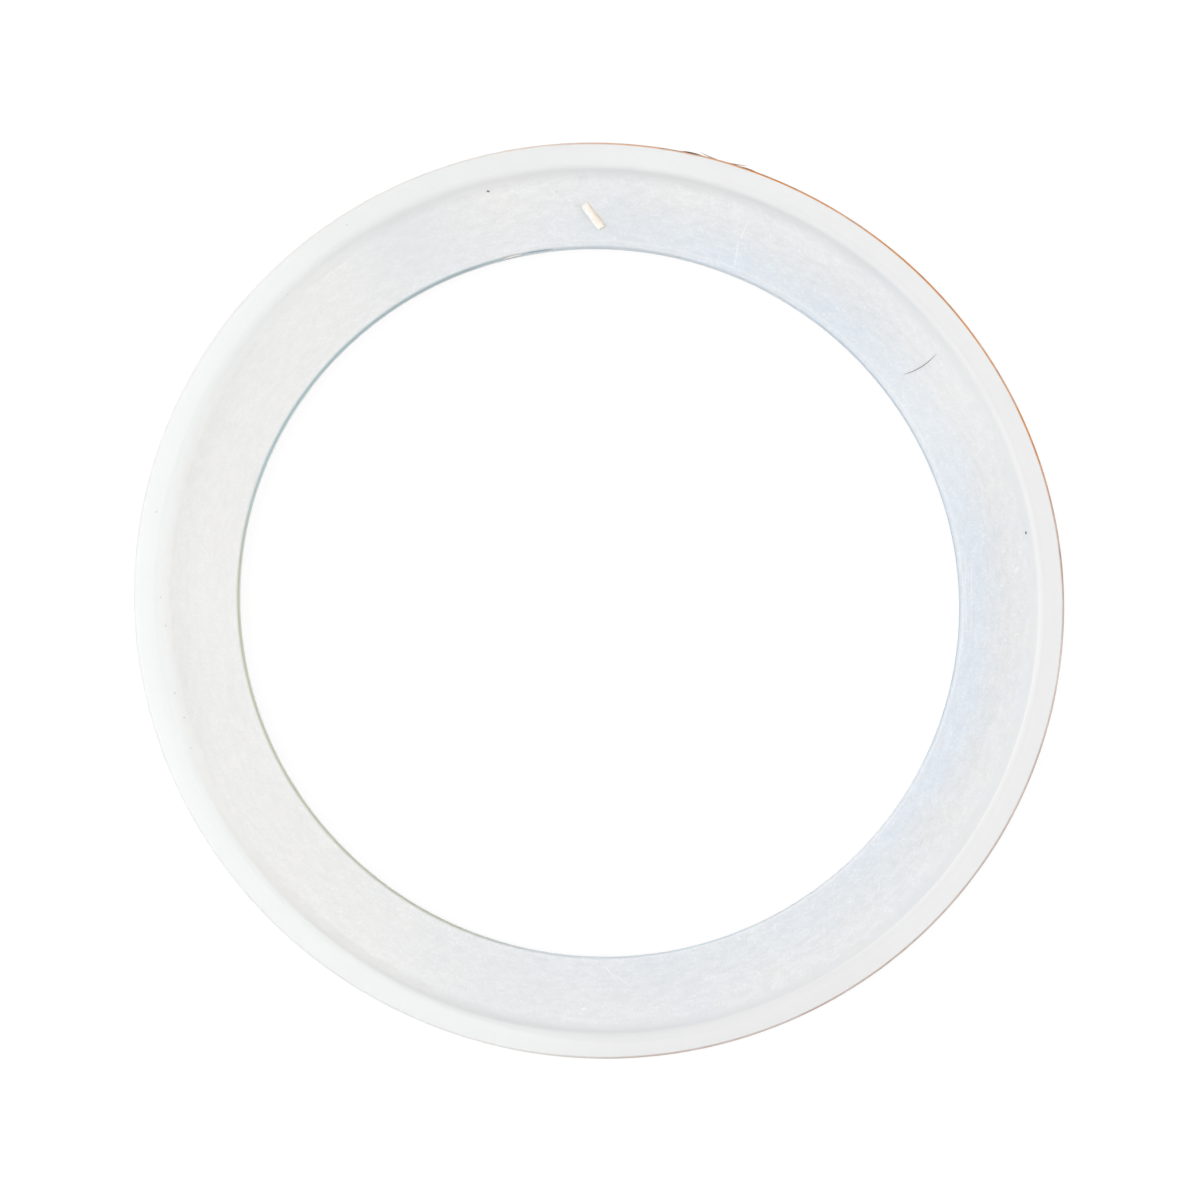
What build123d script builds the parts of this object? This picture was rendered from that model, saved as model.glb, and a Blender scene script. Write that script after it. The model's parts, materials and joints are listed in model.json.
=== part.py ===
"""Sanitary clamp gasket: one compression-moulded silicone ring for a 2 1/2 inch tube union.

The ring has a flat web round the product bore and a thicker rim at its outside, which stands
proud of the web by the same height on both faces. The rim runs down to the web through a round
shoulder and a wider hollow root, as a moulded edge does. The two halves of the mould met at mid
height, where a low ridge of flash runs round the outer wall.

Millimetres. The origin is the centre of the ring at mid height, and +Z runs along the bore.
"""

from build123d import *
import os

# Diameters
outer_diameter = 77.5
bore_diameter = 60.3

# Thicknesses along the bore
web_thickness = 2.0
rim_rise = 0.8

# Widths across the rim, on its upper and lower face
rim_land_width = 1.65
shoulder_width = 0.65
root_width = 1.05

# Broken edges and mould marks
rim_edge_break = 0.25
bore_edge_break = 0.2
flash_height = 0.08
flash_width = 0.24

# Worked out from the sizes above
outer_radius = outer_diameter / 2
bore_radius = bore_diameter / 2
web_top = web_thickness / 2
rim_top = web_top + rim_rise
land_radius = outer_radius - rim_land_width
root_radius = land_radius - shoulder_width - root_width

# The shoulder and the root are arcs that share one tangent where they meet, so their meeting
# point divides the rise in the same proportion as it divides the width.
meeting_radius = land_radius - shoulder_width
meeting_height = rim_top - rim_rise * shoulder_width / (shoulder_width + root_width)

# The moulded ring: the upper half of the section, mirrored and turned round the bore's axis.
with BuildPart() as gasket:
    with BuildSketch(Plane.XZ) as section:
        with BuildLine() as upper_half:
            bore_wall = Line((bore_radius, 0), (bore_radius, web_top))
            web_face = Line(bore_wall @ 1, (root_radius, web_top))
            root = TangentArc(web_face @ 1, (meeting_radius, meeting_height), tangent=(1, 0))
            shoulder = TangentArc(root @ 1, (land_radius, rim_top), tangent=root % 1)
            rim_land = Line(shoulder @ 1, (outer_radius, rim_top))
            outer_wall = Line(rim_land @ 1, (outer_radius, 0))
            Line(outer_wall @ 1, bore_wall @ 0)
        make_face()
        bore_corner = section.vertices().sort_by_distance((bore_radius, web_top))[0]
        chamfer(bore_corner, bore_edge_break)
        rim_corner = section.vertices().sort_by_distance((outer_radius, rim_top))[0]
        chamfer(rim_corner, rim_edge_break)
        mirror(about=Plane.XZ)
    revolve(axis=Axis.Z)

    # The ridge of flash, a low triangle in section, stands on the outer wall at mid height.
    with BuildSketch(Plane.XZ):
        with BuildLine():
            Polyline(
                (outer_radius, flash_width / 2),
                (outer_radius + flash_height, 0),
                (outer_radius, -flash_width / 2),
                (outer_radius - flash_height, 0),
                close=True,
            )
        make_face()
    revolve(axis=Axis.Z)

gasket.part.label = "gasket"

os.makedirs("parts", exist_ok=True)
export_step(gasket.part, "parts/gasket.step")
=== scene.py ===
"""Sanitary clamp gasket: a used, compression-moulded silicone ring lying on a white table.

Laid out as an add-on: the sizes and colours are property groups, each piece has its operator, and
a panel in the 3D view's sidebar lists them. Run as a script, it makes everything in order round
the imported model, which gives it the ring's sizes. All lengths are in metres.
"""

import json
import math
import random

import bmesh
import bpy
from bpy.props import FloatProperty, FloatVectorProperty, IntProperty, PointerProperty
from bpy.types import Operator, Panel, PropertyGroup
from mathutils import Matrix, Vector


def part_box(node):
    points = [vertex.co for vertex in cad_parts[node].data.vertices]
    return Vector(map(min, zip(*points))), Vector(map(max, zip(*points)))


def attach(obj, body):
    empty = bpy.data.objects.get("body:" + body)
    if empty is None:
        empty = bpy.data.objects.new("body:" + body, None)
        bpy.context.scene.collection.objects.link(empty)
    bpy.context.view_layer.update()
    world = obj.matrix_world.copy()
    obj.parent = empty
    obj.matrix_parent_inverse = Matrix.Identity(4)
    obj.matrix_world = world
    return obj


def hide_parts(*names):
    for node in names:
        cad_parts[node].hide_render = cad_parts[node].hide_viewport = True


bl_info = {
    "name": "Clamp gasket",
    "version": (1, 0, 0),
    "blender": (4, 5, 0),
    "location": "View3D > Sidebar > Gasket",
    "description": "Models a moulded silicone clamp gasket, its wear and its dirt",
    "category": "Object",
}

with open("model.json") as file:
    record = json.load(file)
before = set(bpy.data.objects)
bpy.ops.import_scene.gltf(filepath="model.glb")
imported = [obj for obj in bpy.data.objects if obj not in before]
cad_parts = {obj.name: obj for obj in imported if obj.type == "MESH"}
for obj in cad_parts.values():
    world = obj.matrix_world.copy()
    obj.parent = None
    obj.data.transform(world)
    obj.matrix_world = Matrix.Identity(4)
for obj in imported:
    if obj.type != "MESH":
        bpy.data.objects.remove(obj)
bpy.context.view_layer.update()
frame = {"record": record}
ring_low, ring_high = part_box("gasket")
mounts = {mount["name"]: mount for mount in frame["record"]["mounts"]}

MM = 0.001
NEAR = 0.01 * MM  # points this close to a place count as lying there
BODY = "root"


def srgb(hex_colour):
    """Turns an sRGB hex colour into linear red, green and blue."""
    channels = [int(hex_colour[i:i + 2], 16) / 255 for i in (1, 3, 5)]
    return [c / 12.92 if c <= 0.04045 else ((c + 0.055) / 1.055) ** 2.4 for c in channels]


# Sizes and colours ---------------------------------------------------------------------------


class GasketSizes(PropertyGroup):
    """Sizes of the ring's section and of its mould marks."""

    outer_radius: FloatProperty(
        name="Outer radius", description="Radius of the outer wall, without the flash ridge",
        default=mounts["outer_wall"]["dims"]["r_mm"] * MM, unit="LENGTH", precision=5)
    bore_radius: FloatProperty(
        name="Bore radius", description="Radius of the product bore",
        default=mounts["bore"]["dims"]["r_mm"] * MM, unit="LENGTH", precision=5)
    rim_top: FloatProperty(
        name="Rim height", description="Height of the rim's face above mid height",
        default=mounts["upper_rim_face"]["pos_m"][2], unit="LENGTH", precision=5)
    bore_edge: FloatProperty(
        name="Bore edge", description="Size of the broken edges of the bore",
        default=0.2 * MM, unit="LENGTH", precision=5)
    web_top: FloatProperty(
        name="Web height", description="Height of the web's face above mid height",
        default=(mounts["bore"]["dims"]["length_mm"] / 2 + 0.2) * MM, unit="LENGTH", precision=5)
    rim_land: FloatProperty(
        name="Rim land", description="Width of the flat face on top of the rim",
        default=1.65 * MM, unit="LENGTH", precision=5)
    shoulder_width: FloatProperty(
        name="Shoulder", description="Width over which the rim's face rounds down",
        default=0.65 * MM, unit="LENGTH", precision=5)
    root_width: FloatProperty(
        name="Root", description="Width over which the slope runs out into the web",
        default=1.05 * MM, unit="LENGTH", precision=5)
    rim_edge: FloatProperty(
        name="Rim edge", description="Size of the broken outer edges of the rim",
        default=0.25 * MM, unit="LENGTH", precision=5)
    flash_height: FloatProperty(
        name="Flash height", description="How far the parting ridge stands out of the outer wall",
        default=ring_high.x - mounts["outer_wall"]["dims"]["r_mm"] * MM, unit="LENGTH", precision=5)
    flash_width: FloatProperty(
        name="Flash width", description="Width of the parting ridge at its foot",
        default=0.24 * MM, unit="LENGTH", precision=5)
    out_of_round: FloatProperty(
        name="Out of round", description="Share by which the ring is drawn out on its long axis",
        default=0.0117, subtype="FACTOR", precision=4)
    long_axis: FloatProperty(
        name="Long axis", description="Direction of the ring's long axis",
        default=math.radians(-22), subtype="ANGLE", unit="ROTATION")
    bore_shift: FloatVectorProperty(
        name="Bore shift", description="How far the bore was moulded off centre",
        default=(0.05 * MM, -0.19 * MM, 0), subtype="TRANSLATION", unit="LENGTH", precision=5)
    turns: IntProperty(
        name="Steps round the ring", description="Number of copies of the section in one turn",
        default=960, min=96)


class GasketColours(PropertyGroup):
    """Colours of the silicone, of what sticks to it and of the table."""

    web: FloatVectorProperty(
        name="Web", description="Dusty silicone of the thin web", subtype="COLOR",
        default=srgb("#ECEBE9"))
    web_blue: FloatVectorProperty(
        name="Web, blue", description="Web where its milkiness scatters blue", subtype="COLOR",
        default=srgb("#E1E9F2"))
    # Rim tones: a touch greener on the window's side, a painted tint of the window's light.
    rim: FloatVectorProperty(
        name="Rim", description="Thicker, smoother silicone of the rim", subtype="COLOR",
        default=srgb("#EFF1F0"))
    rim_far: FloatVectorProperty(
        name="Rim, far", description="Rim on the side away from the window", subtype="COLOR",
        default=srgb("#F0F0F0"))
    # Bore-wall tones are painted shade: olive and teal on the left, blue-grey on the right.
    wall: FloatVectorProperty(
        name="Bore wall", description="Product film left on the wall of the bore", subtype="COLOR",
        default=srgb("#B6B9A0"))
    wall_teal: FloatVectorProperty(
        name="Bore wall, teal", description="The film where a cleaner has tinted it",
        subtype="COLOR", default=srgb("#A2BBC0"))
    wall_clear: FloatVectorProperty(
        name="Bore wall, clear", description="Wall of the bore where it is nearly clean",
        subtype="COLOR", default=srgb("#D9E3EB"))
    wall_far: FloatVectorProperty(
        name="Bore wall, far", description="Thinner film on the side away from the window",
        subtype="COLOR", default=srgb("#B3C0CC"))
    # Edge tones: painted shade with a painted warm reflection, on the rim's outer edge.
    edge_shade: FloatVectorProperty(
        name="Tide line", description="Brown line dried onto the outer edge", subtype="COLOR",
        default=srgb("#A87A5E"))
    edge_shade_orange: FloatVectorProperty(
        name="Tide line, rust", description="The same line where rust has run into it",
        subtype="COLOR", default=srgb("#CE7F18"))
    cream: FloatVectorProperty(
        name="Splinter", description="Cream core of the stuck splinter", subtype="COLOR",
        default=srgb("#FDF6E8"))
    table: FloatVectorProperty(
        name="Table", description="White table top", subtype="COLOR",
        default=srgb("#FAFAFA"))


# Mesh and node tools -------------------------------------------------------------------------


def begin_piece(add_primitive, name, **settings):
    """Adds a primitive as a new object, with nothing else selected, and opens it for editing."""
    bpy.ops.object.select_all(action="DESELECT")
    add_primitive(**settings)
    piece = bpy.context.active_object
    piece.name = name
    piece.data.name = name
    bpy.ops.object.mode_set(mode="EDIT")
    return piece


def end_piece(piece, smooth_angle=math.radians(40)):
    """Closes the editing, puts the place of the piece into its mesh and smooths its faces."""
    bpy.ops.object.mode_set(mode="OBJECT")
    bpy.ops.object.select_all(action="DESELECT")
    piece.select_set(True)
    bpy.context.view_layer.objects.active = piece
    bpy.ops.object.transform_apply(location=True, rotation=True, scale=True)
    bpy.ops.object.shade_smooth_by_angle(angle=smooth_angle)
    return piece


def settle(piece, scale=(1, 1, 1)):
    """Puts the place and the scale of the piece into its mesh, and goes on editing it."""
    bpy.ops.object.mode_set(mode="OBJECT")
    piece.scale = scale
    bpy.ops.object.transform_apply(location=True, rotation=True, scale=True)
    bpy.ops.object.mode_set(mode="EDIT")


def select_all():
    """Selects the whole edited mesh."""
    bpy.ops.mesh.select_all(action="SELECT")


def select_points(piece, test):
    """Selects the points of the edited mesh whose place passes the test, and nothing else."""
    bpy.ops.mesh.select_mode(type="VERT")
    bpy.ops.mesh.select_all(action="DESELECT")
    mesh = bmesh.from_edit_mesh(piece.data)
    for point in mesh.verts:
        point.select = test(point.co)
    mesh.select_flush(True)
    bmesh.update_edit_mesh(piece.data)


def turn_selected(angle):
    """Turns what is selected about the ring's axis, counter-clockwise as seen from above."""
    bpy.ops.transform.rotate(value=-angle, orient_axis="Z", center_override=(0, 0, 0))


def draw_out(sizes):
    """Draws what is selected out of round, about the ring's centre, along the ring's long axis."""
    turn_selected(-sizes.long_axis)
    bpy.ops.transform.resize(value=drawn_out(sizes), center_override=(0, 0, 0))
    turn_selected(sizes.long_axis)


def drawn_out(sizes):
    """How much longer the ring is along its long axis, across it and in height."""
    return (1 + sizes.out_of_round, 1 - sizes.out_of_round, 1)


def face_radii(sizes):
    """The radii where the rim's flat face ends and where the web begins."""
    land_radius = sizes.outer_radius - sizes.rim_land
    return land_radius, land_radius - sizes.shoulder_width - sizes.root_width


def apply_modifier(piece, kind, **settings):
    """Gives the piece a modifier with these settings and applies it."""
    modifier = piece.modifiers.new(kind.title(), kind)
    for name, value in settings.items():
        setattr(modifier, name, value)
    bpy.context.view_layer.objects.active = piece
    bpy.ops.object.modifier_apply(modifier=modifier.name)


def add(tree, kind, inputs=None, **settings):
    """Adds a node with these settings, and links or fills its inputs, given by name or number."""
    node = tree.nodes.new(kind)
    for name, value in settings.items():
        setattr(node, name, value)
    for key, value in (inputs or {}).items():
        if isinstance(value, bpy.types.NodeSocket):
            tree.links.new(value, node.inputs[key])
        else:
            node.inputs[key].default_value = value
    return node


class Nodes:
    """A shader's node tree, with short ways to add the nodes that come up again and again."""

    def __init__(self, tree):
        self.tree = tree

    def object_place(self):
        """The place on the piece, in metres."""
        return add(self.tree, "ShaderNodeTexCoord").outputs["Object"]

    def axes(self, vector):
        """The vector's X, Y and Z."""
        return add(self.tree, "ShaderNodeSeparateXYZ", {0: vector}).outputs

    def zone(self, value, start, end, low=0.0, high=1.0, interpolation="SMOOTHSTEP"):
        """Goes from low to high while the value goes from start to end, and stays level beyond."""
        return add(self.tree, "ShaderNodeMapRange", {
            "Value": value, "From Min": start, "From Max": end, "To Min": low, "To Max": high},
            interpolation_type=interpolation).outputs["Result"]

    def band(self, value, origin, start, full, fade, end):
        """Is 1 from full to fade and 0 before start and after end, in millimetres past origin."""
        start, full, fade, end = (origin + step * MM for step in (start, full, fade, end))
        return self.product(self.zone(value, start, full), self.zone(value, end, fade))

    def sums(self, operation, first, second=0.0, clamp=True):
        """Joins two values by a sum, a product and the like, kept between 0 and 1."""
        return add(self.tree, "ShaderNodeMath", {0: first, 1: second}, operation=operation,
                   use_clamp=clamp).outputs["Value"]

    def product(self, *values):
        """Multiplies shares with each other, in this order."""
        result = values[0]
        for value in values[1:]:
            result = self.sums("MULTIPLY", result, value)
        return result

    def vector_sums(self, operation, first, second=(0, 0, 0)):
        """Joins two vectors; a length, a distance and a dot product are plain values."""
        node = add(self.tree, "ShaderNodeVectorMath", {0: first, 1: second}, operation=operation)
        return node.outputs["Vector" if operation == "MULTIPLY" else "Value"]

    def turned(self, vector, **inputs):
        """The vector as seen from a place with this location, rotation and scale."""
        inputs = {name.title(): value for name, value in inputs.items()}
        return add(self.tree, "ShaderNodeMapping", {"Vector": vector, **inputs},
                   vector_type="TEXTURE").outputs["Vector"]

    def noise(self, vector, size, detail, roughness=0.6):
        """Cloudy noise whose largest spots are about this size, in metres."""
        return add(self.tree, "ShaderNodeTexNoise", {
            "Vector": vector, "Scale": 1 / size, "Detail": detail, "Roughness": roughness},
            ).outputs["Fac"]

    def blend(self, share, under, over):
        """Lays the share of one colour over another; each is a socket, a hex colour or a triple."""
        return add(self.tree, "ShaderNodeMix", {"Factor": share, 6: opaque(under), 7: opaque(over)},
                   data_type="RGBA").outputs[2]

    def bump(self, height, strength, distance):
        """A bumped normal."""
        return add(self.tree, "ShaderNodeBump", {
            "Height": height, "Strength": strength, "Distance": distance}).outputs["Normal"]


class Material(Nodes):
    """A new material, with the nodes that feed its principled shader."""

    def __init__(self, name):
        self.material = bpy.data.materials.new(name)
        self.material.use_nodes = True
        super().__init__(self.material.node_tree)
        self.shader = self.tree.nodes["Principled BSDF"]

    def finish(self, **inputs):
        """Fills or links the shader's inputs and returns the material."""
        for name, value in inputs.items():
            socket = self.shader.inputs["IOR" if name == "ior" else name.replace("_", " ").title()]
            if isinstance(value, bpy.types.NodeSocket):
                self.tree.links.new(value, socket)
            else:
                socket.default_value = value
        return self.material


def opaque(colour):
    """Gives a hex colour or a colour triple its alpha, and leaves a socket as it is."""
    if isinstance(colour, bpy.types.NodeSocket):
        return colour
    return (*(srgb(colour) if isinstance(colour, str) else colour), 1)


def own_by_body(piece, material):
    """Gives the piece its material and lets it ride on the ring's body."""
    piece.data.materials.clear()
    piece.data.materials.append(material)
    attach(piece, BODY)


# Materials -----------------------------------------------------------------------------------


class MouldedSilicone(Material):
    """Platinum-cured silicone rubber, compression moulded: milky, so that light goes a little way
    in and comes out again, with a satin skin that holds dust on the web. Its colour is laid on
    layer by layer, each layer over the one before."""

    def __init__(self, sizes, colours):
        super().__init__("moulded silicone rubber")
        self.sizes = sizes
        self.colours = colours
        self.land_radius, self.root_radius = face_radii(sizes)

        self.place = self.object_place()
        self.plan = self.vector_sums("MULTIPLY", self.place, (1, 1, 0))
        self.along = self.axes(self.place)
        rounded = self.turned(
            self.place, rotation=(0, 0, sizes.long_axis), scale=drawn_out(sizes))
        self.radius = self.vector_sums("LENGTH", self.vector_sums("MULTIPLY", rounded, (1, 1, 0)))
        # Rings left by turning the mould: the same noise, squeezed along the radius.
        squeeze = 0.4
        self.ring_place = add(self.tree, "ShaderNodeCombineXYZ", {
            "X": self.sums("MULTIPLY", self.along["X"], squeeze, clamp=False),
            "Y": self.sums("MULTIPLY", self.along["Y"], squeeze, clamp=False),
            "Z": self.radius}).outputs["Vector"]
        self.grains = self.noise(self.place, 0.24 * MM, 2, 0.8)
        self.away = self.zone(self.along["X"], -28 * MM, 30 * MM)

        # On the window's side the rim's smooth skin and paler colour reach further down the slope.
        # That paler colour on the slope is painted light.
        self.lit = self.zone(
            self.vector_sums("DOT_PRODUCT", self.place, (-0.9, 0.45, 0)), 16 * MM, 30 * MM)
        skin_edge = self.land_radius - 0.35 * MM
        skin_and_painted_light_reach = self.product(
            self.lit, self.zone(self.radius, self.root_radius + 0.2 * MM, skin_edge))
        self.on_rim = self.sums("MAXIMUM", skin_and_painted_light_reach, self.zone(
            self.radius, self.root_radius + 1.05 * MM, skin_edge))

    def build(self):
        """Lays on all the layers and returns the material."""
        colour = self.bare_skin()
        for lay_on in (self.dust_and_foot_light, self.dirt_and_painted_shade, self.shoulder, self.clouds, self.scratches,
                       self.bore_wall_shade_and_highlight, self.edge_shade_line):
            colour = lay_on(colour)
        self.shader.subsurface_method = "BURLEY"
        return self.finish(
            base_color=colour, ior=1.41, subsurface_weight=0.6, subsurface_radius=(0.9, 1.0, 1.1),
            subsurface_scale=0.5 * MM, roughness=self.zone(self.on_rim, 0, 1, 0.5, 0.34),
            normal=self.bump(self.grains, 0.6, 0.02 * MM))

    def bare_skin(self):
        """The clean rubber: the thin web is bluer, most near the bore away from the window."""
        near_bore = self.zone(
            self.radius, self.root_radius - 0.8 * MM, self.sizes.bore_radius + 0.8 * MM)
        inner = self.product(near_bore, self.zone(self.along["Y"], -28 * MM, -8 * MM, 0.35, 0.7))
        cleanness = self.product(self.away, self.sums("ADD", inner, 0.3))
        unevenness = self.sums(
            "ADD", self.zone(self.noise(self.place, 7 * MM, 3), 0.3, 0.7, 0, 0.2),
            self.zone(self.noise(self.place, 1.8 * MM, 4), 0.3, 0.7, 0, 0.1))
        clouded = self.sums(
            "ADD", cleanness, self.product(unevenness, self.zone(self.away, 0, 1, 0.4, 1)))
        spotted = self.sums("SUBTRACT", clouded, self.zone(self.away, 0, 1, 0.03, 0.13))
        web = self.blend(spotted, self.colours.web, self.colours.web_blue)
        # Painted tint of the window's light: the rim is a touch greener on the window's side.
        rim = self.blend(self.away, self.colours.rim, self.colours.rim_far)
        return self.blend(self.on_rim, web, rim)

    def dust_and_foot_light(self, colour):
        """Dust: pale grains in streaks along the web and nearly none on the rim; painted light at
        the foot.
        """
        dustiness = self.product(
            self.zone(self.radius, self.root_radius + 1.1 * MM, self.root_radius + 0.1 * MM),
            self.zone(self.along["X"], -34 * MM, -2 * MM, 0.55, 1))
        streaks = self.noise(self.ring_place, 0.4 * MM, 4, 0.75)
        mottle = self.zone(self.noise(self.ring_place, 0.5 * MM, 3), 0.35, 0.62, 0, 0.15)
        colour = self.blend(self.product(mottle, dustiness), colour, "#C6CBCE")
        dust = self.product(self.zone(streaks, 0.35, 0.7), self.zone(self.grains, 0.45, 0.65))
        dust_share = self.product(dust, self.zone(dustiness, 0, 1, 0.05, 0.62))
        colour = self.blend(dust_share, colour, "#F8FAFC")
        hollow = self.product(self.zone(streaks, 0.5, 0.3), self.zone(self.grains, 0.55, 0.3))
        hollow_share = self.product(hollow, self.zone(dustiness, 0, 1, 0.02, 0.2))
        colour = self.blend(hollow_share, colour, "#B6BABD")

        # A pale band along the rim's foot, mostly on the right: painted light that lifts the rim's
        # shadow there.
        foot = self.band(self.radius, self.root_radius, -1.5, -0.5, 0.1, 0.7)
        painted_foot_light_side = self.product(
            self.zone(self.along["X"], -22 * MM, 30 * MM, 0, 0.15),
            self.zone(self.along["Y"], -34 * MM, -22 * MM, 0.1, 1))
        return self.blend(self.product(foot, painted_foot_light_side), colour, "#FFFFFF")

    def dirt_and_painted_shade(self, colour):
        """Painted shade, grey: in the root on the window's side, and on the slope at the near side.
        """
        # Painted shade in the root on the window's side, where the rim's shadow falls.
        painted_root_shade_side = self.product(self.lit, self.zone(self.along["Y"], 30 * MM, 14 * MM))
        in_root = self.band(self.radius, self.root_radius, -2.2, 0.1, 0.2, 0.5)
        colour = self.blend(self.product(in_root, painted_root_shade_side, 0.07), colour, "#A9ADA6")
        # Painted shade on the slope at the near side.
        near_side = self.product(
            self.zone(self.along["Y"], -18 * MM, -29 * MM),
            self.zone(self.along["X"], 18 * MM, 2 * MM))
        slope_place = self.sums(
            "SUBTRACT", self.radius, self.zone(self.along["X"], -25 * MM, 10 * MM, 0, 0.9 * MM),
            clamp=False)
        on_slope = self.band(slope_place, self.root_radius, 0, 0.4, 1.05, 1.35)
        return self.blend(self.product(on_slope, near_side, 0.085), colour, "#B4B6B8")

    def shoulder(self, colour):
        """Painted shade on the shoulder away from the window, with a thin painted highlight beside
        it.
        """
        # Painted shade on the shoulder away from the window.
        painted_shoulder_shade = self.product(
            self.band(self.radius, self.land_radius, -0.38, -0.22, 0, 0.2),
            self.zone(self.along["X"], 4 * MM, 20 * MM, 0, 0.055))
        colour = self.blend(painted_shoulder_shade, colour, "#C4C6C8")
        # Thin painted highlight beside it, towards the lower right.
        highlight_side = self.product(
            self.zone(self.along["X"], 8 * MM, 24 * MM, 0, 0.35),
            self.zone(self.along["Y"], 6 * MM, -4 * MM))
        painted_highlight_line = self.band(self.radius, self.land_radius, -0.5, -0.43, -0.39, -0.32)
        return self.blend(self.product(painted_highlight_line, highlight_side), colour, "#FFFDF8")

    def clouds(self, colour):
        """Patches at given places on the web and, with flatter middles, on the rim: painted shade
        and light.
        """
        # x, y and reach in millimetres, and how much of which tone.
        on_web = (
            # Bluish grey towards the top and bottom: painted shade; white at the left: painted
            # light.
            (-15.8, 31.3, 8.5, 0.34, "#D3DAE0"), (-9, -34, 11, 0.2, "#D3DBE2"),
            (4, -32, 14, 0.14, "#CDD4E0"), (2, 32.5, 6, 0.15, "#CDD8E2"),
            (28, 16, 11, 0.24, "#FFFFFF"), (-31, 0, 8, 0.06, "#FFFFFF"),
        )
        # Grey on the rim's lower and upper sides: painted shade.
        on_rim = ((11, -36, 19, 0.09, "#C6C2C4"), (-13, 36, 18, 0.08, "#C4C4C4"))
        off_rim = self.zone(self.on_rim, 1, 0)
        for clouds, where, middle in ((on_web, off_rim, 0), (on_rim, self.on_rim, 0.5)):
            for x, y, reach, share, tone in clouds:
                distance = self.vector_sums("DISTANCE", self.plan, (x * MM, y * MM, 0))
                cloud = self.zone(distance, reach * MM, middle * reach * MM, 0, share)
                colour = self.blend(self.product(cloud, where), colour, tone)
        return colour

    def scratches(self, colour):
        """Short pale scratches and flecks."""
        # x, y, heading, length and width, in millimetres and degrees.
        marks = (
            (12.5, 31.0, 66, 1.8, 0.13), (11.85, 29.0, 82, 2.6, 0.15), (1.3, -31.4, -50, 1.9, 0.09),
            (2.2, -31.9, -35, 2.1, 0.08), (-1.0, -34.3, 20, 0.5, 0.2), (34.1, 3.9, 30, 0.4, 0.2),
            (35.2, 2.4, 55, 0.7, 0.3), (35.2, -3.0, 10, 0.5, 0.16), (30.95, 0.5, 91, 8.0, 0.09),
            (31.4, 0.0, 90, 7.0, 0.07), (29.75, -7.5, -60, 0.5, 0.16),
            (-23.5, -18.2, 30, 0.5, 0.14), (23.4, -19.5, 50, 0.5, 0.14),
        )
        for x, y, heading, length, width in marks:
            local = self.axes(self.turned(
                self.plan, location=(x * MM, y * MM, 0), rotation=(0, 0, math.radians(heading)),
                scale=(length / 2 * MM, width / 2 * MM, 1)))
            beside = self.sums("ABSOLUTE", local["Y"], clamp=False)
            beyond = self.sums("ABSOLUTE", local["X"], clamp=False)
            mark = self.product(self.zone(beside, 1.3, 0.3), self.zone(beyond, 1.0, 0.6, 0, 0.45))
            colour = self.blend(mark, colour, "#FFFFFF")
        return colour

    def bore_wall_shade_and_highlight(self, colour):
        """Painted shade on the bore's wall, less on its broken edge, and a painted highlight beside
        it.
        """
        x, y = self.along["X"], self.along["Y"]
        # Painted shade tones: olive and teal on the left, palest at top and bottom, blue-grey on
        # the right.
        painted_wall_shade = self.blend(
            self.zone(y, 0, 13 * MM), self.colours.wall, self.colours.wall_teal)
        painted_wall_shade = self.blend(self.zone(x, -13 * MM, -2 * MM), painted_wall_shade, self.colours.wall_clear)
        painted_wall_shade = self.blend(self.zone(x, 12 * MM, 26 * MM), painted_wall_shade, self.colours.wall_far)
        less_wall_shade = self.product(
            self.zone(x, 5 * MM, 24 * MM), self.zone(y, -9 * MM, -18 * MM))

        bore_radius = self.sizes.bore_radius
        # Pale line on the web by the bore, away from the window: painted highlight of its edge.
        painted_edge_highlight = self.product(
            self.zone(self.radius, bore_radius + 0.2 * MM, bore_radius + 0.3 * MM),
            self.zone(self.radius, bore_radius + 0.5 * MM, bore_radius + 0.35 * MM, 0, 0.25))
        colour = self.blend(self.product(painted_edge_highlight, self.away), colour, "#FFFFFF")

        facing = self.axes(add(self.tree, "ShaderNodeTexCoord").outputs["Normal"])
        upright = self.sums("ABSOLUTE", facing["Z"], clamp=False)
        close = self.zone(self.radius, bore_radius + 1.0 * MM, bore_radius + 0.8 * MM)
        on_edge = self.sums(
            "MAXIMUM", self.zone(upright, 0.45, 0.2), self.zone(upright, 0.97, 0.8, 0, 0.3))
        low_down = self.zone(self.along["Z"], -0.75 * MM, 0.1 * MM, 0.1, 1)
        wall_shade_share = self.product(self.zone(less_wall_shade, 0, 1, 1, 0.25), low_down)
        return self.blend(self.product(self.product(on_edge, close), wall_shade_share), colour, painted_wall_shade)

    def edge_shade_line(self, colour):
        """Painted shade and a painted warm reflection, brown, along the rim's upper outer edge."""
        # Mostly on the side away from the window; more orange and darker in places.
        sizes = self.sizes
        edge_foot = sizes.rim_top - sizes.rim_edge
        upper = self.zone(self.along["Z"], edge_foot - 0.15 * MM, edge_foot + 0.05 * MM)
        at_edge = self.zone(
            self.radius, sizes.outer_radius - 0.24 * MM, sizes.outer_radius - 0.11 * MM)
        edge_shade = self.product(
            at_edge, upper, self.zone(self.along["X"], -14 * MM, 11 * MM, 0.1, 1))
        strength = self.product(
            self.zone(self.noise(self.place, 5 * MM, 4), 0.25, 0.6, 0.7, 1),
            self.zone(self.along["Y"], 6 * MM, -6 * MM, 1, 0.65))
        warm_reflection_tone = self.blend(
            self.zone(self.along["Y"], 2 * MM, 16 * MM), self.colours.edge_shade, self.colours.edge_shade_orange)
        darker_spots = self.zone(self.noise(self.place, 1.2 * MM, 3), 0.5, 0.68, 0, 0.35)
        return self.blend(
            self.product(edge_shade, strength), colour, self.blend(darker_spots, warm_reflection_tone, "#4A3428"))


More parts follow.
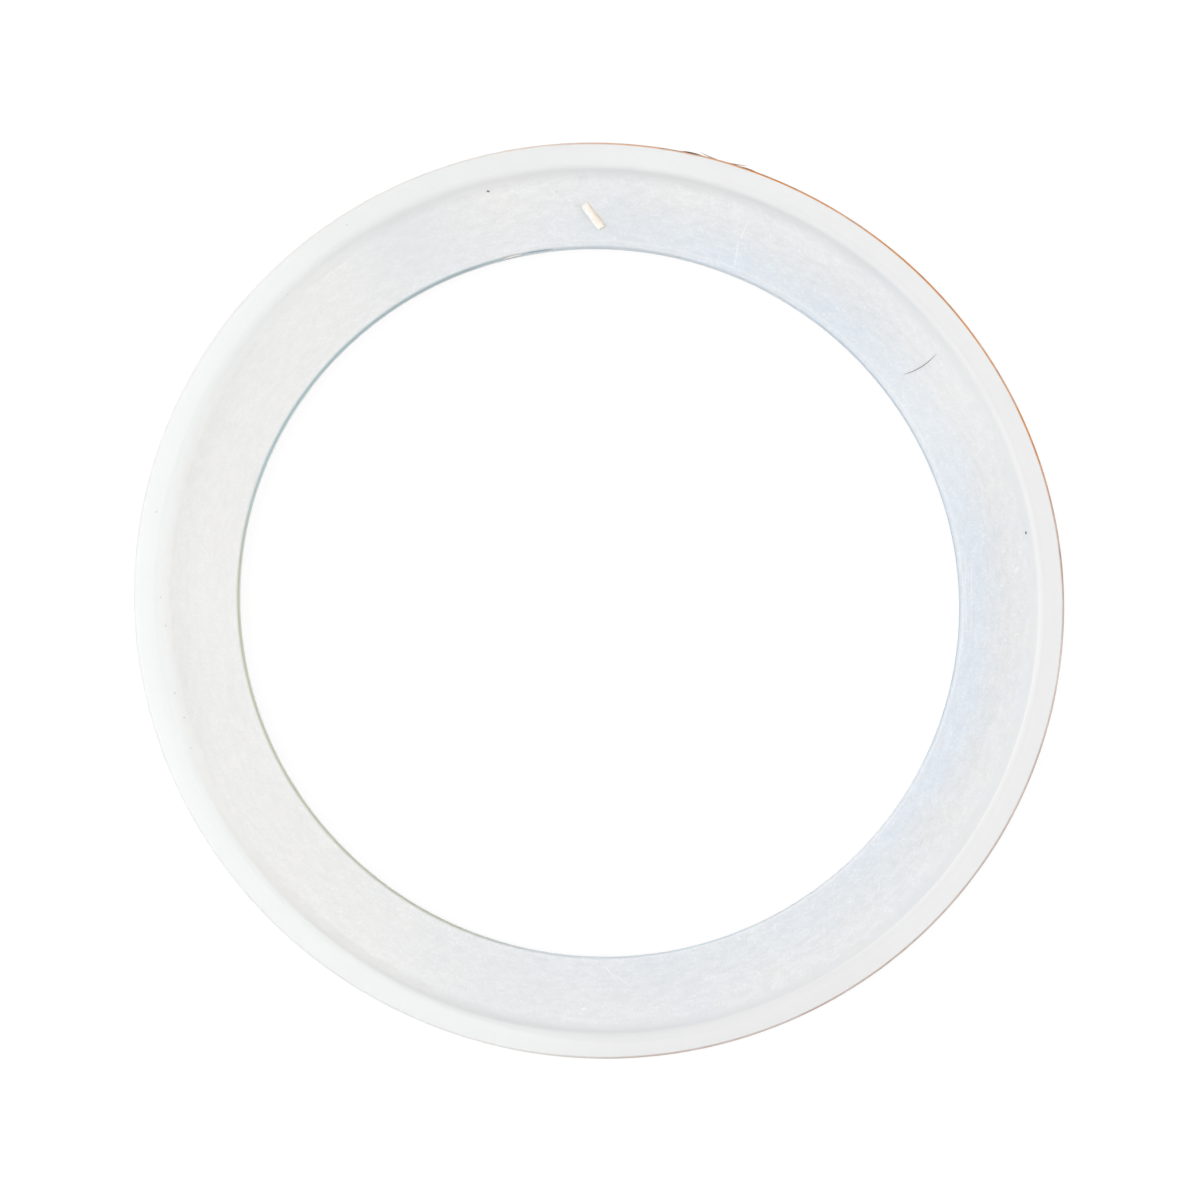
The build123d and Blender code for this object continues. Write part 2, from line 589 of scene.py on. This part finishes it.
def dry_wood(colours, centre, heading):
    """A splinter of dry softwood: cream inside, bleached along one flank and brown along the other,
    with fibres that run its length."""
    wood = Material("dry softwood")
    place = wood.turned(wood.object_place(), location=centre, rotation=(0, 0, heading))
    fibres = wood.noise(wood.vector_sums("MULTIPLY", place, (0.2, 1, 1)), 0.22 * MM, 3, 0.5)
    wander = wood.zone(fibres, 0.3, 0.7, -0.12 * MM, 0.12 * MM, "LINEAR")
    across = wood.sums("ADD", wood.axes(place)["Y"], wander, clamp=False)
    ramp = add(wood.tree, "ShaderNodeValToRGB", {
        "Fac": wood.zone(across, -0.28 * MM, 0.3 * MM, 0, 1, "LINEAR")})
    tones = (
        (0.0, "#FFFFFF"), (0.3, "#FFFEFA"), (0.55, colours.cream), (0.85, "#FCF3E4"),
        (1.0, "#F0E0C8"),
    )
    stops = ramp.color_ramp.elements
    for position, tone in tones[1:-1]:
        stops.new(position)
    for stop, (position, tone) in zip(stops, tones):
        stop.position = position
        stop.color = opaque(tone)
    crumbs = wood.zone(wood.noise(place, 0.2 * MM, 2, 0.7), 0.48, 0.66, 0, 0.35, "LINEAR")
    return wood.finish(
        base_color=wood.blend(crumbs, ramp.outputs["Color"], "#E8D6BA"), roughness=0.7,
        normal=wood.bump(fibres, 0.8, 0.04 * MM))


def dull_mottled_material(name, tone, spot_size, thin_tone="#8A6A4C"):
    """Dull material, browner or paler where thin: dirt, flash, hair and dark pieces of painted
    shade.
    """
    dirt_and_painted_shade = Material(name)
    mottle = dirt_and_painted_shade.noise(dirt_and_painted_shade.object_place(), spot_size, 2, 0.5)
    return dirt_and_painted_shade.finish(base_color=dirt_and_painted_shade.blend(mottle, tone, thin_tone), roughness=0.75)


def table_laminate(colours):
    """White melamine-faced board, pressed: matt, and bright enough to read as plain white."""
    board = Material("white melamine board")
    board.tree.nodes.remove(board.shader)
    matt = add(board.tree, "ShaderNodeBsdfDiffuse", {"Color": opaque(colours.table)})
    glow = add(board.tree, "ShaderNodeEmission", {"Color": opaque("#FFFFFF"), "Strength": 1.06})
    glow_share = board.sums("MULTIPLY", seen_directly(board.tree), 0.82, clamp=False)
    mix = add(board.tree, "ShaderNodeMixShader", {
        0: glow_share, 1: matt.outputs["BSDF"], 2: glow.outputs["Emission"]})
    board.tree.links.new(
        mix.outputs["Shader"], board.tree.nodes["Material Output"].inputs["Surface"])
    return board.material


def seen_directly(tree):
    """Returns 1 on rays from the camera and on those that gloss or glass sends on, and else 0."""
    nodes = Nodes(tree)
    path = add(tree, "ShaderNodeLightPath").outputs
    gloss = nodes.sums("MAXIMUM", path["Is Camera Ray"], path["Is Glossy Ray"], clamp=False)
    return nodes.sums("MAXIMUM", gloss, path["Is Transmission Ray"], clamp=False)


# Pieces --------------------------------------------------------------------------------------


class GASKET_OT_ring(Operator):
    """Model the moulded ring: draw its section, break its corners and spin it round the bore"""

    bl_idname = "gasket.ring"
    bl_label = "Moulded ring"
    bl_options = {"REGISTER", "UNDO"}

    def execute(self, context):
        sizes = context.scene.gasket_sizes
        ring = self.draw_section(sizes)
        self.break_corners(ring, sizes)
        self.spin_round(ring, sizes)
        end_piece(ring)
        silicone = MouldedSilicone(sizes, context.scene.gasket_colours).build()
        own_by_body(ring, silicone)
        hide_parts("gasket")
        return {"FINISHED"}

    def draw_section(self, sizes):
        """Draws the section as a flat face: the rim's block, the slope and the web."""
        land_radius, root_radius = face_radii(sizes)
        slope_width = sizes.shoulder_width + sizes.root_width
        turn = 2 * math.atan2(sizes.rim_top - sizes.web_top, slope_width)
        self.shoulder_reach = sizes.shoulder_width / (1 + math.cos(turn))
        self.root_reach = sizes.root_width / (1 + math.cos(turn))
        self.shoulder_corner = land_radius - self.shoulder_reach
        self.root_corner = root_radius + self.root_reach

        rim_width = sizes.outer_radius - self.shoulder_corner
        ring = begin_piece(
            bpy.ops.mesh.primitive_plane_add, "ring", size=1, rotation=(math.pi / 2, 0, 0),
            location=(sizes.outer_radius - rim_width / 2, 0, 0))
        settle(ring, (rim_width, 2 * sizes.rim_top, 1))

        select_points(ring, lambda co: co.x < self.shoulder_corner + NEAR)
        self.extrude_inwards(self.shoulder_corner - self.root_corner)
        bpy.ops.transform.resize(
            value=(1, 1, sizes.web_top / sizes.rim_top), center_override=(0, 0, 0))
        self.extrude_inwards(self.root_corner - sizes.bore_radius)
        select_all()
        bpy.ops.mesh.dissolve_faces()

        for height in (-sizes.flash_width / 2, 0, sizes.flash_width / 2):
            select_all()
            bpy.ops.mesh.bisect(plane_co=(0, 0, height), plane_no=(0, 0, 1))
        select_points(ring, lambda co: co.x > sizes.outer_radius - NEAR and abs(co.z) < NEAR)
        bpy.ops.transform.translate(value=(sizes.flash_height, 0, 0))
        select_all()
        bpy.ops.mesh.dissolve_faces()
        return ring

    def extrude_inwards(self, distance):
        """Extrudes the selected edge of the section towards the bore."""
        bpy.ops.mesh.extrude_region_move(TRANSFORM_OT_translate={"value": (-distance, 0, 0)})

    def break_corners(self, ring, sizes):
        """Rounds each corner of the section: bore edges, roots, shoulders and rim edges."""
        # Radius, height, reach and number of segments.
        corners = (
            (sizes.bore_radius, sizes.web_top, sizes.bore_edge, 5),
            (self.root_corner, sizes.web_top, self.root_reach, 9),
            (self.shoulder_corner, sizes.rim_top, self.shoulder_reach, 7),
            (sizes.outer_radius, sizes.rim_top, sizes.rim_edge, 5),
        )
        for radius, height, reach, segments in corners:
            select_points(ring, lambda co: abs(co.x - radius) + abs(abs(co.z) - height) < 2 * NEAR)
            bpy.ops.mesh.bevel(affect="VERTICES", offset=reach, segments=segments, profile=0.5)

    def spin_round(self, ring, sizes):
        """Spins the section's outline through a sector, copies that round and draws it all out."""
        sectors = 6
        sector = 2 * math.pi / sectors
        select_all()
        bpy.ops.mesh.delete(type="ONLY_FACE")
        select_all()
        bpy.ops.mesh.spin(
            steps=sizes.turns // sectors, angle=sector, center=(0, 0, 0), axis=(0, 0, 1))
        select_all()
        for _ in range(1, sectors):
            bpy.ops.mesh.duplicate()
            turn_selected(-sector)
        select_all()
        bpy.ops.mesh.remove_doubles(threshold=0.002 * MM)
        bpy.ops.mesh.normals_make_consistent(inside=False)
        self.shift_bore(ring, sizes)
        select_all()
        draw_out(sizes)

    def shift_bore(self, ring, sizes):
        """Moves the bore off centre, and what lies round it less and less up to the outer wall."""
        select_points(ring, lambda co: co.xy.length < sizes.bore_radius + NEAR)
        bpy.ops.transform.translate(
            value=sizes.bore_shift, use_proportional_edit=True, proportional_edit_falloff="LINEAR",
            proportional_size=sizes.outer_radius - sizes.bore_radius)


class GASKET_OT_shreds(Operator):
    """Peel shreds of flash off the outer edge and off the bore"""

    bl_idname = "gasket.shreds"
    bl_label = "Shreds of flash"
    bl_options = {"REGISTER", "UNDO"}

    def execute(self, context):
        sizes = context.scene.gasket_sizes
        spot = 0.3 * MM
        painted_shadow_flash = dull_mottled_material("flash with baked-on dirt", "#221B1E", spot, "#6E5644")
        tan = dull_mottled_material("thin flash", "#C28450", spot, "#7A5234")
        pale = dull_mottled_material("grey flash", "#C2CED4", spot, "#A9B8C0")
        cream = dull_mottled_material("cream flash", "#FFFAF3", spot, "#F2E6D8")
        painted_shade_strip = dull_mottled_material("blue-grey film on the bore's lip", "#7A909F", spot, "#9AAEBA")
        rim_edge = (sizes.outer_radius - 0.02 * MM, sizes.rim_top - sizes.rim_edge)
        bore_edge = (sizes.bore_radius + sizes.bore_shift[1], sizes.web_top)
        # Name, material, the edge's radius and height, how far from it in and down, the first and
        # the last angle, the lift and the thickness, in millimetres and degrees.
        shreds = (
            # The two dark rim pieces are near black: painted shadow under the lifted flash.
            ("rim_painted_shadow_1", painted_shadow_flash, rim_edge, (0, 0), (78.9, 76.2), 0.0, 0.14),
            ("rim_painted_shadow_2", painted_shadow_flash, rim_edge, (0, 0), (71.4, 69.2), 0.0, 0.09),
            ("rim_hair_1", tan, rim_edge, (0, 0), (76.6, 74.0), 0.28, 0.05),
            ("rim_hair_2", tan, rim_edge, (0, 0), (70.6, 73.2), 0.24, 0.05),
            ("bore_shred", pale, bore_edge, (0.1, 0.35), (105.6, 101.2), -0.12, 0.08),
            ("bore_hair", cream, bore_edge, (0.06, 0.15), (104.6, 101.6), -0.03, 0.08),
            # bore_lip is a dark blue-grey strip on the bore's lip: painted shade.
            ("bore_lip", painted_shade_strip, bore_edge, (0.01, 0.18), (101.6, 96.4), 0.0, 0.07),
        )
        for name, material, edge, (inwards, down), span, lift, thickness in shreds:
            self.peel(sizes, name, material, edge[0] - inwards * MM, edge[1] - down * MM, span,
                      lift * MM, thickness * MM)
        return {"FINISHED"}

    def peel(self, sizes, name, material, radius, height, span, lift, thickness):
        """Spins a small section from the first to the second angle of the span, thins its ends,
        and bends its first end away from the wall by the lift."""
        start, end = (math.radians(angle) for angle in span)
        steps = 14
        height_share = 2.2
        shred = begin_piece(
            bpy.ops.mesh.primitive_plane_add, name, size=thickness, rotation=(math.pi / 2, 0, 0),
            location=(radius, 0, height))
        settle(shred)
        bpy.ops.transform.resize(value=(1, 1, height_share), center_override=(radius, 0, height))
        bpy.ops.mesh.spin(steps=steps, angle=start - end, center=(0, 0, 0), axis=(0, 0, 1))
        rings = bmesh.from_edit_mesh(shred.data)
        for point in rings.verts:
            turn = math.atan2(point.co.y, point.co.x)
            share = turn / (end - start)
            taper = math.sin(math.pi * min(max(share, 0.04), 0.96)) ** 0.6
            outwards = Vector((math.cos(turn), math.sin(turn), 0))
            middle = outwards * radius + Vector((0, 0, height))
            bent = outwards * lift * (1 - share) ** 2
            point.co = middle + bent + (point.co - middle) * taper
        bmesh.update_edit_mesh(shred.data)
        select_all()
        turn_selected(start)
        bpy.ops.mesh.normals_make_consistent(inside=False)
        draw_out(sizes)
        end_piece(shred)
        own_by_body(shred, material)


class GASKET_OT_sliver(Operator):
    """Carve the splinter of wood that sticks to the web"""

    bl_idname = "gasket.sliver"
    bl_label = "Wood splinter"
    bl_options = {"REGISTER", "UNDO"}

    length: FloatProperty(name="Length", description="Length of the splinter",
                          default=2.55 * MM, unit="LENGTH", precision=5)
    width: FloatProperty(name="Width", description="Width of the splinter",
                         default=0.7 * MM, unit="LENGTH", precision=5)
    thickness: FloatProperty(name="Thickness", description="Thickness of the splinter",
                             default=0.3 * MM, unit="LENGTH", precision=5)

    def execute(self, context):
        heading = math.radians(-53)
        web_top = context.scene.gasket_sizes.web_top
        centre = Vector((-0.21 * MM, 32.26 * MM, web_top + 0.45 * self.thickness))
        splinter = begin_piece(bpy.ops.mesh.primitive_cube_add, "splinter", size=1)
        bpy.ops.transform.resize(value=(self.length, self.width, self.thickness))
        self.roughen(splinter)
        self.split_end(splinter)
        bpy.ops.object.mode_set(mode="OBJECT")
        apply_modifier(splinter, "BEVEL", width=0.03 * MM, segments=2)
        apply_modifier(splinter, "SUBSURF", levels=1, render_levels=1)
        bpy.ops.object.mode_set(mode="EDIT")
        select_all()
        turn_selected(heading)
        bpy.ops.transform.translate(value=centre)
        end_piece(splinter)
        own_by_body(splinter, dry_wood(context.scene.gasket_colours, centre, heading))
        return {"FINISHED"}

    def roughen(self, splinter):
        """Cuts the splinter into slices and makes each a little wider, thicker or further over."""
        slices = 9
        for cut in range(1, slices):
            select_all()
            bpy.ops.mesh.bisect(
                plane_co=((cut / slices - 0.5) * self.length, 0, 0), plane_no=(1, 0, 0))
        for side in (-0.18, 0.14):
            select_all()
            bpy.ops.mesh.bisect(plane_co=(0, side * self.width, 0), plane_no=(0, 1, 0))
        rough = random.Random(7)
        first_width = 0.72
        sideways = 0.035
        for cut in range(slices + 1):
            slice_place = (cut / slices - 0.5) * self.length
            select_points(splinter, lambda co: abs(co.x - slice_place) < 3 * NEAR)
            width = first_width if cut == 0 else rough.uniform(0.88, 1.06)
            bpy.ops.transform.resize(value=(1, width, rough.uniform(0.8, 1.1)))
            bow = 0.05 * MM * math.sin(math.pi * cut / slices)
            bpy.ops.transform.translate(
                value=(0, rough.uniform(-sideways, sideways) * MM - bow, 0))

    def split_end(self, splinter):
        """Splits the lower end between the bleached flank and the core, and lowers the core."""
        select_points(splinter, lambda co: co.x > 0.47 * self.length
                      and -0.12 * MM > co.y > -0.2 * MM)
        bpy.ops.transform.translate(value=(-0.09 * MM, 0, -0.02 * MM))
        select_points(splinter, lambda co: co.z > 0 and co.y > -0.15 * MM
                      and co.x < 0.4 * self.length)
        bpy.ops.transform.translate(value=(0, 0, -0.05 * MM))


class GASKET_OT_hair(Operator):
    """Lay the dark hair on the web"""

    bl_idname = "gasket.hair"
    bl_label = "Hair"
    bl_options = {"REGISTER", "UNDO"}

    thickness: FloatProperty(name="Thickness", description="Thickness of the hair at its middle",
                             default=0.048 * MM, unit="LENGTH", precision=5)
    bend_radius: FloatProperty(name="Bend", description="Radius of the hair's curve",
                               default=5.2 * MM, unit="LENGTH", precision=5)

    def execute(self, context):
        web_top = context.scene.gasket_sizes.web_top
        middle = Vector((24.55 * MM, 23.81 * MM, web_top + 0.4 * self.thickness))
        start = math.radians(-75.8)
        turn = math.radians(35.5)
        steps = 20
        sides = 8
        hair = begin_piece(
            bpy.ops.mesh.primitive_circle_add, "hair", vertices=sides, radius=self.thickness / 2,
            rotation=(math.pi / 2, 0, 0), location=(self.bend_radius, 0, 0))
        settle(hair)
        bpy.ops.mesh.spin(steps=steps, angle=-turn, center=(0, 0, 0), axis=(0, 0, 1))
        for step in range(steps + 1):
            angle = turn * step / steps
            ring = Vector((math.cos(angle), math.sin(angle), 0)) * self.bend_radius
            select_points(hair, lambda co: (co - ring).length < self.thickness * 0.55)
            thin = 0.25 + 0.75 * math.sin(math.pi * step / steps) ** 0.7
            bpy.ops.transform.resize(value=(thin, thin, thin), center_override=ring)
        select_all()
        bpy.ops.mesh.fill_holes(sides=sides)
        select_all()
        bpy.ops.mesh.normals_make_consistent(inside=False)
        turn_selected(start)
        bpy.ops.transform.translate(value=middle)
        end_piece(hair)
        own_by_body(hair, dull_mottled_material("dark hair", "#504D49", 0.5 * MM, "#6A665F"))
        return {"FINISHED"}


class GASKET_OT_specks(Operator):
    """Drop specks of dirt on the ring's upper face"""

    bl_idname = "gasket.specks"
    bl_label = "Specks of dirt"
    bl_options = {"REGISTER", "UNDO"}

    # Each speck's x and y on the ring, its length and its heading, in millimetres and degrees,
    # and what it is of: a black crumb, a brown flake, a grey grain of dust or a tan crumb.
    places = (
        (35.95, 5.45, 0.25, 95, "crumb"), (-9.1, 34.45, 0.25, -15, "flake"),
        (-37.1, 7.4, 0.15, 30, "grain"), (-36.8, 0.2, 0.14, 0, "grain"),
        (-36.4, -2.2, 0.13, 60, "grain"), (-35.6, -7.9, 0.17, 0, "grain"),
        (-34.8, -9.95, 0.16, 20, "grain"), (-34.2, -12.5, 0.16, 0, "grain"),
        (-21.0, 31.6, 0.12, 0, "grain"), (-26.1, 25.8, 0.12, 0, "grain"),
        (-3.3, 34.35, 0.15, 40, "bran"),
    )

    def execute(self, context):
        ring = bpy.data.objects["ring"]
        spot = 0.2 * MM
        dirt_and_painted_shade = {
            "crumb": dull_mottled_material("dry crumbs", "#1E1B1A", spot),
            "flake": dull_mottled_material("brown flake", "#5C5450", spot, "#7A6E68"),
            "grain": dull_mottled_material("grey dust grains", "#A5AEB2", spot, "#C4CBCD"),
            "bran": dull_mottled_material("tan crumb", "#E9CB96", spot, "#CFA46A"),
        }
        rough = random.Random(3)
        for number, (x, y, length, heading, kind) in enumerate(self.places, 1):
            above = Vector((x * MM, y * MM, 10 * MM))
            hit, place, *_ = ring.ray_cast(above, Vector((0, 0, -1)))
            if not hit:
                raise RuntimeError(f"Speck {number} does not lie on the ring")
            speck = begin_piece(
                bpy.ops.mesh.primitive_ico_sphere_add, f"speck_{number:02d}", subdivisions=3,
                radius=length / 2 * MM)
            bpy.ops.transform.resize(value=(1, 0.5, 0.3))
            bpy.ops.transform.vertex_random(
                offset=0.12 * length * MM, uniform=0.5, normal=0.5, seed=number)
            bpy.ops.mesh.vertices_smooth(factor=0.5)
            turn_selected(math.radians(heading + rough.uniform(-5, 5)))
            bpy.ops.transform.translate(value=place + Vector((0, 0, 0.08 * length * MM)))
            end_piece(speck)
            own_by_body(speck, dirt_and_painted_shade[kind])
        return {"FINISHED"}


class GASKET_OT_stage(Operator):
    """Lay the white table, hang the lights and set up the camera over the ring"""

    bl_idname = "gasket.stage"
    bl_label = "Table, lights and camera"
    bl_options = {"REGISTER", "UNDO"}

    def execute(self, context):
        scene = context.scene
        scene.view_settings.view_transform = "Standard"
        self.lay_table(scene.gasket_colours)
        self.fill_world(scene)
        self.hang_lights(scene)
        self.place_camera(scene)
        return {"FINISHED"}

    def lay_table(self, colours):
        """Lays a table far wider than the ring under it."""
        table = begin_piece(
            bpy.ops.mesh.primitive_grid_add, "table", size=6, x_subdivisions=8, y_subdivisions=8,
            location=(0, 0, ring_low.z))
        end_piece(table)
        table.data.materials.append(table_laminate(colours))

    def fill_world(self, scene):
        """Fills the room with soft white light, dimmer towards its far wall and its near one."""
        world = bpy.data.worlds.new("soft room")
        world.use_nodes = True
        scene.world = world
        tree = world.node_tree
        nodes = Nodes(tree)
        room = tree.nodes["Background"]
        room.inputs["Color"].default_value = opaque("#FFFFFF")
        sky_side = nodes.axes(add(tree, "ShaderNodeTexCoord").outputs["Generated"])["Y"]
        near_wall = nodes.zone(sky_side, -0.1, -0.9, 1.0, 0.3, "LINEAR")
        far_wall = nodes.zone(sky_side, 0.1, 0.9, 0.66, 0.37, "LINEAR")
        level = nodes.sums("MULTIPLY", near_wall, far_wall, clamp=False)
        tree.links.new(level, room.inputs["Strength"])
        white = add(tree, "ShaderNodeBackground", {"Color": opaque("#FFFFFF"), "Strength": 1.0})
        mix = add(tree, "ShaderNodeMixShader", {
            0: seen_directly(tree), 1: room.outputs["Background"], 2: white.outputs["Background"]})
        tree.links.new(mix.outputs["Shader"], tree.nodes["World Output"].inputs["Surface"])

    def hang_lights(self, scene):
        """A soft box overhead to the left, and two low, broad lights from the left and right."""
        spread = math.radians(55)
        self.add_light(scene, "window", "AREA", (-0.215, -0.01, 0.46), 0.8, size=0.25)
        self.add_light(scene, "left", "SUN", (-0.9, 0.0, 0.42), 0.6, angle=spread)
        self.add_light(scene, "right", "SUN", (0.9, 0.0, 0.42), 1.05, angle=spread)

    def add_light(self, scene, name, kind, place, energy, **settings):
        """Hangs a light at this place, in metres, and turns it towards the ring's centre."""
        light = bpy.data.lights.new(name, kind)
        light.energy = energy
        for key, value in settings.items():
            setattr(light, key, value)
        lamp = bpy.data.objects.new(name, light)
        lamp.location = place
        lamp.rotation_euler = Vector(place).to_track_quat("Z", "Y").to_euler()
        scene.collection.objects.link(lamp)

    def place_camera(self, scene):
        """Hangs the camera almost straight above the ring, a little to the right and below."""
        distance = 0.3
        lean = math.radians(3.8)
        bearing = math.radians(-26.7)
        back = Vector((
            math.sin(lean) * math.cos(bearing), math.sin(lean) * math.sin(bearing), math.cos(lean)))
        right = Vector((0, 1, 0)).cross(back).normalized()
        up = back.cross(right)
        aim = Vector((0.3 * MM, -0.05 * MM, 0))
        camera = bpy.data.cameras.new("camera")
        camera.sensor_width = 36
        camera.lens = 106.8
        camera.clip_start = 0.01
        eye = bpy.data.objects.new("camera", camera)
        turn = Matrix((right, up, back)).transposed()
        eye.matrix_world = Matrix.Translation(aim + back * distance) @ turn.to_4x4()
        scene.collection.objects.link(eye)
        scene.camera = eye


class GASKET_PT_panel(Panel):
    """Lists the gasket's pieces in the sidebar"""

    bl_idname = "GASKET_PT_panel"
    bl_label = "Clamp gasket"
    bl_space_type = "VIEW_3D"
    bl_region_type = "UI"
    bl_category = "Gasket"

    def draw(self, context):
        for operator in OPERATORS:
            self.layout.operator(operator.bl_idname)


OPERATORS = (
    GASKET_OT_stage, GASKET_OT_ring, GASKET_OT_shreds, GASKET_OT_sliver, GASKET_OT_hair,
    GASKET_OT_specks,
)
CLASSES = (GasketSizes, GasketColours, *OPERATORS, GASKET_PT_panel)


def register():
    """Registers the classes and gives the scene its sizes and colours."""
    for item in CLASSES:
        bpy.utils.register_class(item)
    bpy.types.Scene.gasket_sizes = PointerProperty(type=GasketSizes)
    bpy.types.Scene.gasket_colours = PointerProperty(type=GasketColours)


def unregister():
    """Takes back all that register() did, in the opposite order."""
    del bpy.types.Scene.gasket_colours
    del bpy.types.Scene.gasket_sizes
    for item in reversed(CLASSES):
        bpy.utils.unregister_class(item)


def main():
    """Makes the stage and every piece."""
    register()
    bpy.ops.gasket.stage()
    bpy.ops.gasket.ring()
    bpy.ops.gasket.shreds()
    bpy.ops.gasket.sliver()
    bpy.ops.gasket.hair()
    bpy.ops.gasket.specks()


if __name__ == "__main__":
    main()
